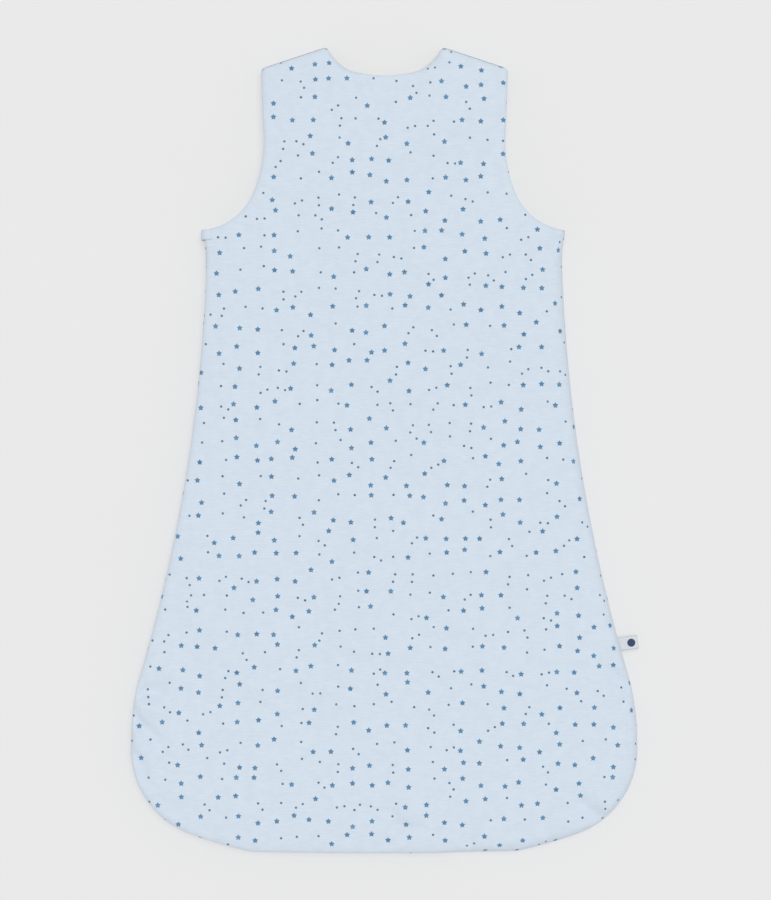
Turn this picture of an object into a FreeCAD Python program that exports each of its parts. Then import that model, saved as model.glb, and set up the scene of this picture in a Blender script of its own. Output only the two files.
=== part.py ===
import FreeCAD, Part
import math
import os

import Sketcher

# Baby sleeping bag lying flat, back up. Millimetres, +Z up, +Y towards the neck,
# the zip on the -X side. X and Y are centred on the bag, and Z is 0 under it.
# Heights in the pattern are measured from the hem upwards.

SIZES = {
    # plan outline of the back panel, right half
    "bag_length": 700.0,
    "neck_half": 50.0,
    "neck_bend": 60.4,
    "shoulder_half": 107.5,
    "shoulder_height": 681.0,
    "arm_top_half": 105.0,
    "arm_top_height": 627.0,
    "arm_mid_half": 113.0,
    "arm_mid_height": 574.0,
    "arm_upper_bend": 121.0,
    "arm_lower_bend": 53.0,
    "underarm_half": 157.7,
    "underarm_height": 540.0,
    "side_bend": 1044.0,
    "side_centre_half": 1200.5,
    "side_centre_height": 490.0,
    "side_low_half": 210.0,
    "side_low_height": 160.0,
    "widest_half": 221.0,
    "widest_height": 95.0,
    "hip_bend": 205.0,
    "corner_half": 165.0,
    "corner_height": 20.0,
    "corner_bend": 78.3,
    "hem_half": 74.0,
    "hem_height": 2.0,
    "hem_end_bend": 390.0,
    "hem_bend": 1370.0,
    # levels of the layers
    "front_top": 8.0,
    "back_low": 18.0,
    "back_top": 26.0,
    "skin": 0.6,
    # front neckline and the raised front straps
    "scoop_radius": 50.0,
    "scoop_height": 680.0,
    "column_inner": 30.0,
    "ramp_start": 580.0,
    "ramp_end": 620.0,
    "strap_low": 7.2,
    "strap_top": 11.2,
    "strap_end_gap": 9.0,
    # folded strap tabs
    "fold_half": 78.75,
    "fold_height": 690.5,
    "fold_turn": 18.287,
    "tab_half": 25.0,
    "tab_length": 55.0,
    "tab_gap": 0.5,
    "tab_corner": 18.0,
    "tab_low": 1.2,
    "tab_top": 4.2,
    # snap fasteners
    "snap_near": 24.0,
    "snap_far": 44.0,
    "pin_radius": 1.5,
    "cap_radius": 6.0,
    "socket_radius": 4.8,
    "socket_hole": 2.3,
    "socket_top": 5.9,
    "stud_low": 6.2,
    "nub_radius": 1.85,
    "nub_low": 5.0,
    "stud_back_radius": 5.5,
    "stud_back_top": 12.3,
    # opening flap of the back panel
    "flap_start_half": 156.5,
    "flap_start_height": 480.0,
    "flap_turn": -65.5,
    "flap_gap": 0.4,
    # zip along the left side, round the corner and along the hem
    "zip_inset": 6.5,
    "tape_thick": 0.6,
    "coil_thick": 1.4,
    "front_tape_top": 11.4,
    "front_coil_low": 11.0,
    "front_coil_top": 12.4,
    "back_coil_low": 13.6,
    "back_coil_top": 15.0,
    "back_tape_low": 14.6,
    "zip_top_height": 530.5,
    "coil_top_height": 528.2,
    "zip_end_half": 58.0,
    "coil_end_half": 54.0,
    "seam_start_half": 59.5,
    "seam_top_height": 538.0,
    "seam_thick": 1.2,
    "guard_inset": 10.5,
    "guard_top": 16.0,
    # slider and its pull tab
    "slider_height": 522.0,
    "slider_length": 11.0,
    "pull_length": 23.0,
    "bar_out": 4.6,
    "bar_up": 3.0,
    "bar_radius": 0.5,
    "eye_radius": 1.3,
    "eye_hole": 0.75,
    # labels and garage
    "garage_low_height": 531.5,
    "garage_length": 8.8,
    "garage_width": 8.6,
    "flag_length": 15.0,
    "flag_width": 12.0,
    "flag_half": 203.0,
    "flag_height": 184.5,
    "flag_turn": 8.0,
    "emblem_radius": 4.0,
    "care_length": 34.0,
    "care_width": 25.0,
    "neck_label_half": 17.0,
    "neck_label_length": 26.0,
}

doc = FreeCAD.newDocument("sleeping_bag")
sheet = doc.addObject("Spreadsheet::Sheet", "Dims")
for row, (alias, number) in enumerate(SIZES.items(), start=1):
    sheet.set(f"A{row}", alias.replace("_", " "))
    sheet.set(f"B{row}", str(number))
    sheet.setAlias(f"B{row}", alias)
doc.recompute()

HEM = "-Dims.bag_length / 2"  # Y of the hem, from which pattern heights are counted
TALL = "60"  # taller than the whole bag
WIDE = "400"  # wider than the bag from its middle
YZ_PLANE = FreeCAD.Rotation(FreeCAD.Vector(1, 1, 1), 120)


def value(expression):
    """The number that an expression on the sheet gives."""
    return float(sheet.evalExpression(expression))


def bind(item, bindings):
    for path, expression in bindings.items():
        item.setExpression(path, expression)
    return item


def place(item, x="0", y="0", z="0", turn="0"):
    return bind(item, {
        ".Placement.Base.x": x,
        ".Placement.Base.y": y,
        ".Placement.Base.z": z,
        ".Placement.Rotation.Angle": turn,
    })


def box(name, length, width, height, x="0", y="0", z="0", turn="0"):
    item = doc.addObject("Part::Box", name)
    bind(item, {"Length": length, "Width": width, "Height": height})
    return place(item, x, y, z, turn)


def corner_box(name, low, high):
    """An upright box between two corners, each given as three expressions."""
    sides = [f"({b}) - ({a})" for a, b in zip(low, high)]
    return box(name, *sides, *low)


def cylinder(name, radius, low, high, x="0", y="0"):
    item = doc.addObject("Part::Cylinder", name)
    bind(item, {"Radius": radius, "Height": f"({high}) - ({low})"})
    return place(item, x, y, low)


def cut(name, base, tool):
    item = doc.addObject("Part::Cut", name)
    item.Base = base
    item.Tool = tool
    return item


def common(name, base, tool):
    item = doc.addObject("Part::Common", name)
    item.Base = base
    item.Tool = tool
    return item


def fuse(name, pieces):
    item = doc.addObject("Part::MultiFuse", name)
    item.Shapes = pieces
    return item


def group(name, pieces):
    item = doc.addObject("Part::Compound", name)
    item.Links = pieces
    return item


# ---------------------------------------------------------------- sketches

def bent_edge(start, end, radius, side):
    """An arc from start to end with its centre to the left (side 1) or right (-1)."""
    chord = end.sub(start)
    reach = math.sqrt(radius**2 - chord.Length**2 / 4)
    across = FreeCAD.Vector(-chord.y, chord.x, 0).normalize()
    centre = start.add(end).multiply(0.5).add(across.multiply(side * reach))
    first, last = (start, end) if side > 0 else (end, start)
    angles = [math.atan2(p.y - centre.y, p.x - centre.x) for p in (first, last)]
    circle = Part.Circle(centre, FreeCAD.Vector(0, 0, 1), radius)
    return Part.ArcOfCircle(circle, *angles)


def draw(sketch, corners, bends):
    """Draws a closed chain through the corners and returns each edge's first end."""
    starts = []
    for index, corner in enumerate(corners):
        following = corners[(index + 1) % len(corners)]
        bend = bends[index]
        if bend is None:
            edge = sketch.addGeometry(Part.LineSegment(corner, following), False)
            starts.append((edge, 1))
        else:
            arc = bent_edge(corner, following, value(bend[0]), bend[1])
            edge = sketch.addGeometry(arc, False)
            starts.append((edge, 1 if bend[1] > 0 else 2))
    for index, (edge, start) in enumerate(starts):
        following = starts[(index + 1) % len(starts)]
        sketch.addConstraint(Sketcher.Constraint("Coincident", edge, 3 - start, *following))
    return starts


def pin_corner(sketch, name, end, corner):
    """Holds a corner at its two coordinates, which are expressions on the sheet."""
    for kind, expression in (("DistanceX", corner[0]), ("DistanceY", corner[1])):
        rule = Sketcher.Constraint(kind, -1, 1, *end, value(expression))
        index = sketch.addConstraint(rule)
        label = f"{name}_{kind[-1].lower()}"
        sketch.renameConstraint(index, label)
        sketch.setExpression(f"Constraints.{label}", expression)


def pin_radius(sketch, name, edge, expression):
    index = sketch.addConstraint(Sketcher.Constraint("Radius", edge, value(expression)))
    sketch.renameConstraint(index, name)
    sketch.setExpression(f"Constraints.{name}", expression)


def as_vector(corner):
    return FreeCAD.Vector(value(corner[0]), value(corner[1]), 0)


def mirrored_sketch(name, half, bends, top_bend, bottom_bend):
    """A closed outline, symmetric about the sketch's vertical axis.

    half lists the right-hand corners from top to bottom, and bends the edges between
    them, each None for a straight one or (radius, side).
    """
    sketch = doc.addObject("Sketcher::SketchObject", name)
    right = [as_vector(corner) for corner in half]
    left = [FreeCAD.Vector(-p.x, p.y, 0) for p in reversed(right)]
    chain = bends + [bottom_bend] + bends[::-1] + [top_bend]
    starts = draw(sketch, right + left, chain)
    count = len(half)
    for index, corner in enumerate(half):
        pin_corner(sketch, f"corner{index}", starts[index], corner)
        twin = starts[2 * count - 1 - index]
        sketch.addConstraint(Sketcher.Constraint("Symmetric", *twin, *starts[index], -2))
    for index, bend in enumerate(bends):
        if bend is not None:
            pin_radius(sketch, f"bend{index}", starts[index][0], bend[0])
            twin = starts[2 * count - 2 - index][0]
            sketch.addConstraint(Sketcher.Constraint("Equal", starts[index][0], twin))
    for label, bend, edge in (("bottom", bottom_bend, count - 1), ("top", top_bend, 2 * count - 1)):
        if bend is not None:
            pin_radius(sketch, label, starts[edge][0], bend[0])
    return sketch


def polygon_sketch(name, corners):
    sketch = doc.addObject("Sketcher::SketchObject", name)
    starts = draw(sketch, [as_vector(c) for c in corners], [None] * len(corners))
    for index, corner in enumerate(corners):
        pin_corner(sketch, f"corner{index}", starts[index], corner)
    return sketch


def inset(name, source, distance):
    item = doc.addObject("Part::Offset2D", name)
    item.Source = source
    item.Join = "Arc"
    return bind(item, {"Value": f"-({distance})"})


def prism(name, base, low, high):
    """The flat outline raised from one level to another."""
    item = doc.addObject("Part::Extrusion", name)
    item.Base = base
    item.DirMode = "Custom"
    item.Dir = FreeCAD.Vector(0, 0, 1)
    item.Solid = True
    bind(item, {"LengthFwd": f"({high}) - ({low})"})
    return place(item, z=low)


def ring(name, outer, inner, low, high):
    """A thin upright wall between two insets of the outline."""
    return cut(
        name,
        prism(f"{name}_outer", outer, low, high),
        prism(f"{name}_inner", inner, f"({low}) - 1", f"({high}) + 1"),
    )


# ---------------------------------------------------------------- outline

outline = mirrored_sketch(
    "outline",
    [
        ("Dims.neck_half", "Dims.bag_length"),
        ("Dims.shoulder_half", "Dims.shoulder_height"),
        ("Dims.arm_top_half", "Dims.arm_top_height"),
        ("Dims.arm_mid_half", "Dims.arm_mid_height"),
        ("Dims.underarm_half", "Dims.underarm_height"),
        ("Dims.side_low_half", "Dims.side_low_height"),
        ("Dims.widest_half", "Dims.widest_height"),
        ("Dims.corner_half", "Dims.corner_height"),
        ("Dims.hem_half", "Dims.hem_height"),
    ],
    [
        None,
        None,
        ("Dims.arm_upper_bend", 1),
        ("Dims.arm_lower_bend", 1),
        ("Dims.side_bend", 1),
        ("Dims.hip_bend", -1),
        ("Dims.corner_bend", -1),
        ("Dims.hem_end_bend", -1),
    ],
    ("Dims.neck_bend", 1),
    ("Dims.hem_bend", -1),
)
place(outline, y=HEM)
lined_outline = inset("lined_outline", outline, "Dims.skin")
coil_line = inset("coil_line", outline, "Dims.zip_inset - Dims.coil_thick")
tape_line = inset("tape_line", outline, "Dims.zip_inset")
tape_back_line = inset("tape_back_line", outline, "Dims.zip_inset + Dims.tape_thick")
seam_back_line = inset("seam_back_line", outline, "Dims.zip_inset + Dims.seam_thick")
guard_line = inset("guard_line", outline, "Dims.guard_inset")
guard_back_line = inset("guard_back_line", outline, "Dims.guard_inset + Dims.tape_thick")

# The part of the plan that folds back with the opening flap.
flap_x = "-Dims.flap_start_half - 60 * cos(Dims.flap_turn) + 400 * sin(Dims.flap_turn)"
flap_y = f"Dims.flap_start_height {HEM} - 60 * sin(Dims.flap_turn) - 400 * cos(Dims.flap_turn)"
flap_side = box("flap_side", "700", "400", TALL, flap_x, flap_y, "-1", "Dims.flap_turn")
flap_side_grown = box(
    "flap_side_grown", "700", "400 + Dims.flap_gap", TALL, flap_x, flap_y, "-1", "Dims.flap_turn"
)


def split_at_flap(whole, fixed_name, flap_name):
    """The fixed and the folding share of one layer of the back."""
    return cut(fixed_name, whole, flap_side_grown), common(flap_name, whole, flap_side)


# ---------------------------------------------------------------- back panel

def make_back_panel():
    shell = cut(
        "back_shell_whole",
        prism("back_block", outline, "Dims.back_low", "Dims.back_top"),
        prism("back_room", lined_outline, "Dims.back_low - 1", "Dims.back_top - Dims.skin"),
    )
    wadding = prism(
        "back_wadding_whole",
        lined_outline,
        "Dims.back_low + Dims.skin",
        "Dims.back_top - Dims.skin",
    )
    lining = prism(
        "back_lining_whole", lined_outline, "Dims.back_low", "Dims.back_low + Dims.skin"
    )
    pieces = []
    for layer, whole in (("shell", shell), ("wadding", wadding), ("lining", lining)):
        pieces += split_at_flap(whole, f"back_{layer}", f"flap_{layer}")
    return pieces


# ---------------------------------------------------------------- front panel

def at_fold(side, along, inward):
    """Plan position in a strap's own frame: along its fold line and inward from it."""
    turn = f"{-side} * Dims.fold_turn"
    x = f"{side} * Dims.fold_half + ({along}) * cos({turn}) + ({inward}) * sin({turn})"
    y = f"Dims.fold_height {HEM} + ({along}) * sin({turn}) - ({inward}) * cos({turn})"
    return x, y, turn


def front_openings(name):
    """What the front panel leaves free: the neck scoop and both strap ends."""
    scoop_y = f"Dims.scoop_height {HEM}"
    reach = "Dims.scoop_radius"
    pieces = [
        cylinder(f"{name}_scoop", reach, "-1", TALL, "0", scoop_y),
        box(f"{name}_neck", f"2 * {reach}", "100", TALL, f"-{reach}", scoop_y, "-1"),
    ]
    for word, side in (("left", -1), ("right", 1)):
        x, y, turn = at_fold(side, "-60", "Dims.strap_end_gap")
        pieces.append(box(f"{name}_{word}_end", "120", "80", TALL, x, y, "-1", turn))
    return fuse(name, pieces)


def front_slab(name, low_rise, high_rise):
    """A slab that follows the front panel: flat, but raised where the straps are.

    low_rise and high_rise are heights above the panel's underside and its top side.
    """
    low = [f"{level} + {low_rise}" for level in ("2", "2 + Dims.strap_low")]
    high = [f"2 + {level} + {high_rise}" for level in ("Dims.front_top", "Dims.strap_top")]
    profile = polygon_sketch(f"{name}_profile", [
        ("1", low[0]),
        ("Dims.ramp_start + 5", low[0]),
        ("Dims.ramp_end + 5", low[1]),
        ("Dims.bag_length + 20", low[1]),
        ("Dims.bag_length + 20", high[1]),
        ("Dims.ramp_end + 5", high[1]),
        ("Dims.ramp_start + 5", high[0]),
        ("1", high[0]),
    ])
    # The profile is drawn from a point 5 beyond the hem and 2 under the floor, so that
    # it has no coordinate of zero.
    profile.Placement = FreeCAD.Placement(FreeCAD.Vector(0, 0, 0), YZ_PLANE)
    bind(profile, {".Placement.Base.y": f"{HEM} - 5", ".Placement.Base.z": "-2"})
    raised = doc.addObject("Part::Extrusion", f"{name}_raised")
    raised.Base = profile
    raised.DirMode = "Custom"
    raised.Dir = FreeCAD.Vector(1, 0, 0)
    raised.Solid = True
    bind(raised, {"LengthFwd": WIDE, "LengthRev": WIDE})
    middle = box(
        f"{name}_middle", "2 * Dims.column_inner", "1000", TALL,
        "-Dims.column_inner", "-500", "-10",
    )
    flat = corner_box(
        f"{name}_flat",
        ("-Dims.column_inner", "-500", f"0 + {low_rise}"),
        ("Dims.column_inner", "500", f"Dims.front_top + {high_rise}"),
    )
    return fuse(name, [cut(f"{name}_columns", raised, middle), flat])


def snap_places(side):
    return [at_fold(side, "0", f"Dims.snap_{reach}")[:2] for reach in ("near", "far")]


def snap_cylinders(name, radius, low, high, sides=(-1, 1)):
    """Upright cylinders at the snap places of the given sides."""
    pieces = []
    for side in sides:
        for number, (x, y) in enumerate(snap_places(side)):
            word = "left" if side < 0 else "right"
            pieces.append(cylinder(f"{name}_{word}{number}", radius, low, high, x, y))
    return pieces


def make_front_panel():
    plan = cut(
        "front_plan",
        prism("front_outer_plan", outline, "-1", TALL),
        front_openings("front_free"),
    )
    posts = fuse("post_holes", snap_cylinders("post_hole", "Dims.pin_radius", "-1", TALL))
    whole = front_slab("front_whole", "0", "0")
    layers = (
        ("shell", cut("front_under", whole, front_slab("front_over", "Dims.skin", "1"))),
        ("wadding", front_slab("front_filling", "Dims.skin", "-Dims.skin")),
        ("lining", cut("front_top", whole, front_slab("front_below", "-1", "-Dims.skin"))),
    )
    return [
        cut(f"front_{layer}", common(f"front_{layer}_whole", plan, slab), posts)
        for layer, slab in layers
    ]


# ---------------------------------------------------------------- edges and zip

def zone(name, low, high):
    """An upright column of the plan between two corners."""
    return corner_box(name, (low[0], low[1], "-1"), (high[0], high[1], TALL))


def make_zip_and_seam():
    low_edge = f"{HEM} - 10"
    tape_zone = zone(
        "tape_zone",
        (f"-{WIDE}", low_edge),
        ("Dims.zip_end_half", f"Dims.zip_top_height {HEM}"),
    )
    coil_zone = zone(
        "coil_zone",
        (f"-{WIDE}", low_edge),
        ("Dims.coil_end_half", f"Dims.coil_top_height {HEM}"),
    )
    seam_zone = zone(
        "seam_zone",
        ("Dims.seam_start_half", low_edge),
        (WIDE, f"Dims.seam_top_height {HEM}"),
    )
    front_tape = ring(
        "front_tape_ring", tape_line, tape_back_line, "Dims.front_top", "Dims.front_tape_top"
    )
    back_tape = ring(
        "back_tape_ring", tape_line, tape_back_line, "Dims.back_tape_low", "Dims.back_low"
    )
    front_coil = ring(
        "front_coil_ring", coil_line, tape_line, "Dims.front_coil_low", "Dims.front_coil_top"
    )
    back_coil = ring(
        "back_coil_ring", coil_line, tape_line, "Dims.back_coil_low", "Dims.back_coil_top"
    )
    seam = ring("seam_ring", tape_line, seam_back_line, "Dims.front_top", "Dims.back_low")
    guard = ring("guard_ring", guard_line, guard_back_line, "Dims.front_top", "Dims.guard_top")
    pieces = [
        common("front_zip_tape", front_tape, tape_zone),
        common("front_zip_teeth", front_coil, coil_zone),
        common("side_seam", seam, seam_zone),
        common("zip_guard", guard, coil_zone),
    ]
    pieces += split_at_flap(
        common("back_tape_whole", back_tape, tape_zone), "back_zip_tape", "flap_zip_tape"
    )
    pieces += split_at_flap(
        common("back_coil_whole", back_coil, coil_zone), "back_zip_teeth", "flap_zip_teeth"
    )
    return pieces


def on_side(height):
    """Plan position and turn of the tape's outer face on the left at a height."""
    reach = "(Dims.side_bend + Dims.zip_inset)"
    turn = f"asin((({height}) - Dims.side_centre_height) / {reach})"
    x = f"-Dims.side_centre_half + {reach} * cos({turn})"
    y = f"Dims.side_centre_height {HEM} + {reach} * sin({turn})"
    return x, y, turn


def make_top_stops():
    """A small block on the upper end of each tape."""
    blocks = [
        corner_box(
            f"top_stop_{word}",
            ("-1.6", "0", f"Dims.{word}_coil_low - 0.1"),
            ("-0.1", "1.8", f"Dims.{word}_coil_top + 0.1"),
        )
        for word in ("front", "back")
    ]
    return place(group("zip_top_stops", blocks), *on_side("Dims.coil_top_height + 0.2")[:2])


def make_bottom_stop():
    hem_y = f"{HEM} + Dims.coil_end_half ^ 2 / (2 * Dims.hem_bend) + Dims.zip_inset"
    return corner_box(
        "zip_bottom_stop",
        ("Dims.coil_end_half + 0.3", f"{hem_y} - 1.6", "Dims.front_coil_low"),
        ("Dims.coil_end_half + 3", hem_y, "Dims.front_coil_top + 1"),
    )


def make_garage():
    """The folded tab that wraps the edge over the upper end of the zip."""
    low_y = f"Dims.garage_low_height {HEM}"
    high_y = f"{low_y} + Dims.garage_length"
    edge = "-Dims.underarm_half"
    cover = corner_box(
        "garage_cover",
        (f"{edge} - 1.4", low_y, "Dims.back_top + 0.1"),
        (f"{edge} + Dims.garage_width - 1.4", high_y, "Dims.back_top + 0.8"),
    )
    wall = corner_box(
        "garage_wall",
        (f"{edge} - 1.4", low_y, "Dims.front_top + 1"),
        (f"{edge} - 0.7", high_y, "Dims.back_top + 0.8"),
    )
    hood = corner_box(
        "garage_hood",
        (f"{edge} - 0.7", low_y, "Dims.front_top + 1"),
        (f"{edge} + Dims.zip_inset + 1", f"{high_y} - 1.5", "Dims.back_low - 0.3"),
    )
    return fuse("zip_garage", [cover, wall, hood])


# ---------------------------------------------------------------- slider

def make_slider():
    """Drawn in the slider's own frame: X inward from the tape, Y up along the zip."""
    half = "Dims.slider_length / 2"
    body = fuse("slider_body_local", [
        corner_box("slider_outer", ("-3", f"-{half}", "9.2"), ("-1.7", half, "16.8")),
        corner_box("slider_web", ("-1.7", "1.5", "12.7"), ("0.9", "5", "13.3")),
        corner_box("slider_inner", ("0.9", f"-{half}", "9.6"), ("2.1", half, "16.4")),
    ])
    bar = cylinder(
        "bridge_bar", "Dims.bar_radius", "11.4", "14.6", "-Dims.bar_out", "Dims.bar_up"
    )
    bridge = fuse("slider_bridge_local", [
        corner_box("bridge_low", ("-Dims.bar_out - 0.7", "1.5", "10.4"), ("-3", "4.5", "11.4")),
        corner_box("bridge_high", ("-Dims.bar_out - 0.7", "1.5", "14.6"), ("-3", "4.5", "15.6")),
        bar,
    ])
    eye = cylinder(
        "pull_eye", "Dims.eye_radius", "11.7", "14.3", "-Dims.bar_out", "Dims.bar_up"
    )
    neck = corner_box(
        "pull_neck",
        ("-Dims.bar_out - 0.6", "-1.5", "11.7"),
        ("-Dims.bar_out + 0.6", "Dims.bar_up", "14.3"),
    )
    plate = corner_box(
        "pull_plate",
        ("-Dims.bar_out - 0.6", "Dims.bar_up - Dims.pull_length", "10.4"),
        ("-Dims.bar_out + 0.6", "-1.4", "15.6"),
    )
    hole = cylinder("pull_hole", "Dims.eye_hole", "9", "17", "-Dims.bar_out", "Dims.bar_up")
    pull = cut("pull_tab_local", fuse("pull_blank", [eye, neck, plate]), hole)
    x, y, turn = on_side("Dims.slider_height")
    return [
        place(group(name, [local]), x, y, "0", turn)
        for name, local in (
            ("slider_body", body), ("slider_bridge", bridge), ("pull_tab", pull)
        )
    ]


# ---------------------------------------------------------------- strap tabs

def tab_outline(name, grow):
    """A tab's plan with its rounded free end at height 1 of the sketch."""
    corner = f"(Dims.tab_corner - {grow})"
    half = f"(Dims.tab_half - {grow})"
    near = f"1 + Dims.tab_length - Dims.tab_gap - {grow}"
    end = f"1 + {grow}"
    return mirrored_sketch(
        name,
        [(half, near), (half, f"{end} + {corner}"), (f"{half} - {corner}", end)],
        [None, (corner, -1)],
        None,
        None,
    )


def make_strap(word, side):
    """One back strap's end, folded over its shoulder line and under the front strap."""
    x, y, turn = at_fold(side, "0", "Dims.tab_length + 1")
    plan = place(tab_outline(f"{word}_tab_plan", "0"), x, y, "0", turn)
    lined = place(tab_outline(f"{word}_tab_lined_plan", "Dims.skin"), x, y, "0", turn)
    pins = fuse(
        f"{word}_pin_holes",
        snap_cylinders(f"{word}_pin_hole", "Dims.pin_radius", "-1", TALL, (side,)),
    )
    tray = cut(
        f"{word}_tab_tray",
        prism(f"{word}_tab_block", plan, "Dims.tab_low", "Dims.tab_top"),
        prism(f"{word}_tab_room", lined, "Dims.tab_low + Dims.skin", "Dims.tab_top + 1"),
    )
    fill = prism(
        f"{word}_tab_fill", lined, "Dims.tab_low + Dims.skin", "Dims.tab_top - Dims.skin"
    )
    top = prism(f"{word}_tab_cover", lined, "Dims.tab_top - Dims.skin", "Dims.tab_top")
    caps = snap_cylinders(f"{word}_cap", "Dims.cap_radius", "0", "Dims.tab_low", (side,))
    pin_pieces = snap_cylinders(
        f"{word}_pin", "Dims.pin_radius", "Dims.tab_low", "Dims.tab_top", (side,)
    )
    sockets = cut(
        f"{word}_strap_snap_sockets",
        fuse(
            f"{word}_socket_blanks",
            snap_cylinders(
                f"{word}_socket", "Dims.socket_radius", "Dims.tab_top", "Dims.socket_top", (side,)
            ),
        ),
        fuse(
            f"{word}_socket_bores",
            snap_cylinders(f"{word}_bore", "Dims.socket_hole", "-1", TALL, (side,)),
        ),
    )
    return [
        cut(f"{word}_strap_shell", tray, pins),
        cut(f"{word}_strap_wadding", fill, pins),
        cut(f"{word}_strap_lining", top, pins),
        fuse(f"{word}_strap_snap_caps", caps + pin_pieces),
        sockets,
    ]


def make_studs(word, side):
    """The halves of the snaps that stay on a front strap."""
    parts = [
        ("base", "Dims.socket_radius", "Dims.stud_low", "Dims.strap_low"),
        ("nub", "Dims.nub_radius", "Dims.nub_low", "Dims.stud_low"),
        ("post", "Dims.pin_radius", "Dims.strap_low", "Dims.strap_top"),
    ]
    pieces = []
    for part, radius, low, high in parts:
        pieces += snap_cylinders(f"{word}_stud_{part}", radius, low, high, (side,))
    backs = snap_cylinders(
        f"{word}_back", "Dims.stud_back_radius", "Dims.strap_top", "Dims.stud_back_top", (side,)
    )
    return [fuse(f"{word}_snap_studs", pieces), fuse(f"{word}_stud_backs", backs)]


# ---------------------------------------------------------------- labels

def make_labels():
    middle = "(Dims.front_top + Dims.back_low) / 2"
    flag = box(
        "flag_label",
        "Dims.flag_length + Dims.zip_inset - 0.5",
        "Dims.flag_width",
        "1",
        "Dims.flag_half - Dims.zip_inset + 0.5",
        f"Dims.flag_height {HEM} - Dims.flag_width / 2",
        f"{middle} - 0.5",
        "Dims.flag_turn",
    )
    emblem = cylinder(
        "flag_emblem",
        "Dims.emblem_radius",
        f"{middle} + 0.5",
        f"{middle} + 0.8",
        "Dims.flag_half + Dims.flag_length / 2 + 1.5",
        f"Dims.flag_height {HEM} + 1.5",
    )
    care = corner_box(
        "care_label",
        ("149.5 - Dims.care_length", "60", "Dims.front_top + 0.1"),
        ("149.5", "60 + Dims.care_width", "Dims.front_top + 0.5"),
    )
    neck_y = "Dims.bag_length / 2 - 30"
    neck = corner_box(
        "neck_label",
        ("-Dims.neck_label_half", f"{neck_y} - Dims.neck_label_length", "Dims.back_low - 0.5"),
        ("Dims.neck_label_half", neck_y, "Dims.back_low - 0.1"),
    )
    return [flag, emblem, care, neck]


# ---------------------------------------------------------------- assembly

parts = make_back_panel() + make_front_panel() + make_zip_and_seam()
parts += [make_top_stops(), make_bottom_stop(), make_garage()]
parts += make_slider()
for word, side in (("left", -1), ("right", 1)):
    parts += make_strap(word, side)
    parts += make_studs(word, side)
parts += make_labels()
doc.recompute()

for item in doc.Objects:
    if "Invalid" in item.State or "Error" in item.State:
        raise RuntimeError(f"{item.Name} failed: {item.State}")
os.makedirs("parts", exist_ok=True)
for item in parts:
    item.Label = item.Name
    if item.Shape.isNull() or not item.Shape.isValid() or not item.Shape.Solids:
        raise RuntimeError(f"{item.Label} has no valid solid")
    item.Shape.exportStep(f"parts/{item.Label}.step")
    size = item.Shape.BoundBox
    print(
        f"{item.Label}: {len(item.Shape.Solids)} solids, {item.Shape.Volume / 1000:.2f} cm3, "
        f"x {size.XMin:.1f}..{size.XMax:.1f} y {size.YMin:.1f}..{size.YMax:.1f} "
        f"z {size.ZMin:.2f}..{size.ZMax:.2f}"
    )
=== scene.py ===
"""A padded baby sleeping bag that lies on its front, seen from straight above.

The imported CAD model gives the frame. The quilted panels, the strap tabs, the zip, the
slider, the snap fasteners and the labels are built here as their own meshes.
"""

import math

import bmesh
import bpy
import numpy as np
from mathutils import Matrix, Vector, noise
from mathutils.geometry import delaunay_2d_cdt


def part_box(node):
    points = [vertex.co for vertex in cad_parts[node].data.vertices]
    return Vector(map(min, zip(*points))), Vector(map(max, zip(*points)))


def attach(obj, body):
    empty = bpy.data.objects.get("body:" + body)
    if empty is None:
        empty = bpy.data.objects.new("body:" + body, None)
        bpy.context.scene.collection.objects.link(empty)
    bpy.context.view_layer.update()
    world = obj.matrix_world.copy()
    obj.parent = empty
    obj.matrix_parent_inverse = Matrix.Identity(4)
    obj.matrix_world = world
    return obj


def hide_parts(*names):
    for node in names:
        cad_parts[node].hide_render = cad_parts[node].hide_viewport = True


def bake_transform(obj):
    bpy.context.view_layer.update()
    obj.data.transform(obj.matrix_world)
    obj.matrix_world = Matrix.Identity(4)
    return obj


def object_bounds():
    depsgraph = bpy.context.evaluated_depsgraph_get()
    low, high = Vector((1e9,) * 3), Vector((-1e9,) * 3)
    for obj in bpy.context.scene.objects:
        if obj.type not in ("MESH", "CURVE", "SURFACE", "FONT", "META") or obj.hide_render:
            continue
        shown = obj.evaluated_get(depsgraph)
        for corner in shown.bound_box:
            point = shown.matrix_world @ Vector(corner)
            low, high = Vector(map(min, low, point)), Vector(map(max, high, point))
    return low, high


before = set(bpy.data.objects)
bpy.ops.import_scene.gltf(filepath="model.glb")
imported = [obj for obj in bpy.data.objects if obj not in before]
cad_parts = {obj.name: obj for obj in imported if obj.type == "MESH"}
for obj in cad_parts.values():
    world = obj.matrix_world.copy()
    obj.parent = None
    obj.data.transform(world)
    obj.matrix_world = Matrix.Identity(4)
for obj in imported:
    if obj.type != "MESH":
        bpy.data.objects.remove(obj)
cad_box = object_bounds()

MM = 0.001

# ---------- plan of the bag

# Right-hand corners of the back's plan, from the neck down to the hem, in metres.
BACK_TOP = [
    (0.030, 0.3290), (0.050, 0.350), (0.1075, 0.331), (0.1068, 0.316), (0.105, 0.277),
]
BACK_TOP_BENDS = [0.047, None, None, None]
# The front ends in a lower neck scoop and a short strap end instead.
FRONT_TOP = [(0.050, 0.330), (0.050, 0.3405), (0.1066, 0.3218), (0.105, 0.277)]
FRONT_TOP_BENDS = [None, None, None]
BODY = [
    (0.113, 0.224), (0.1577, 0.190), (0.1547, 0.158), (0.2103, -0.190),
    (0.220, -0.255), (0.168, -0.3345), (0.115, -0.3496),
]
# Radius of each edge that ends at a corner of BODY: above 0 it curves into the bag.
BODY_BENDS = [0.121, 0.053, 0.110, 1.40, -0.205, -0.0783, -0.390]
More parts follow.
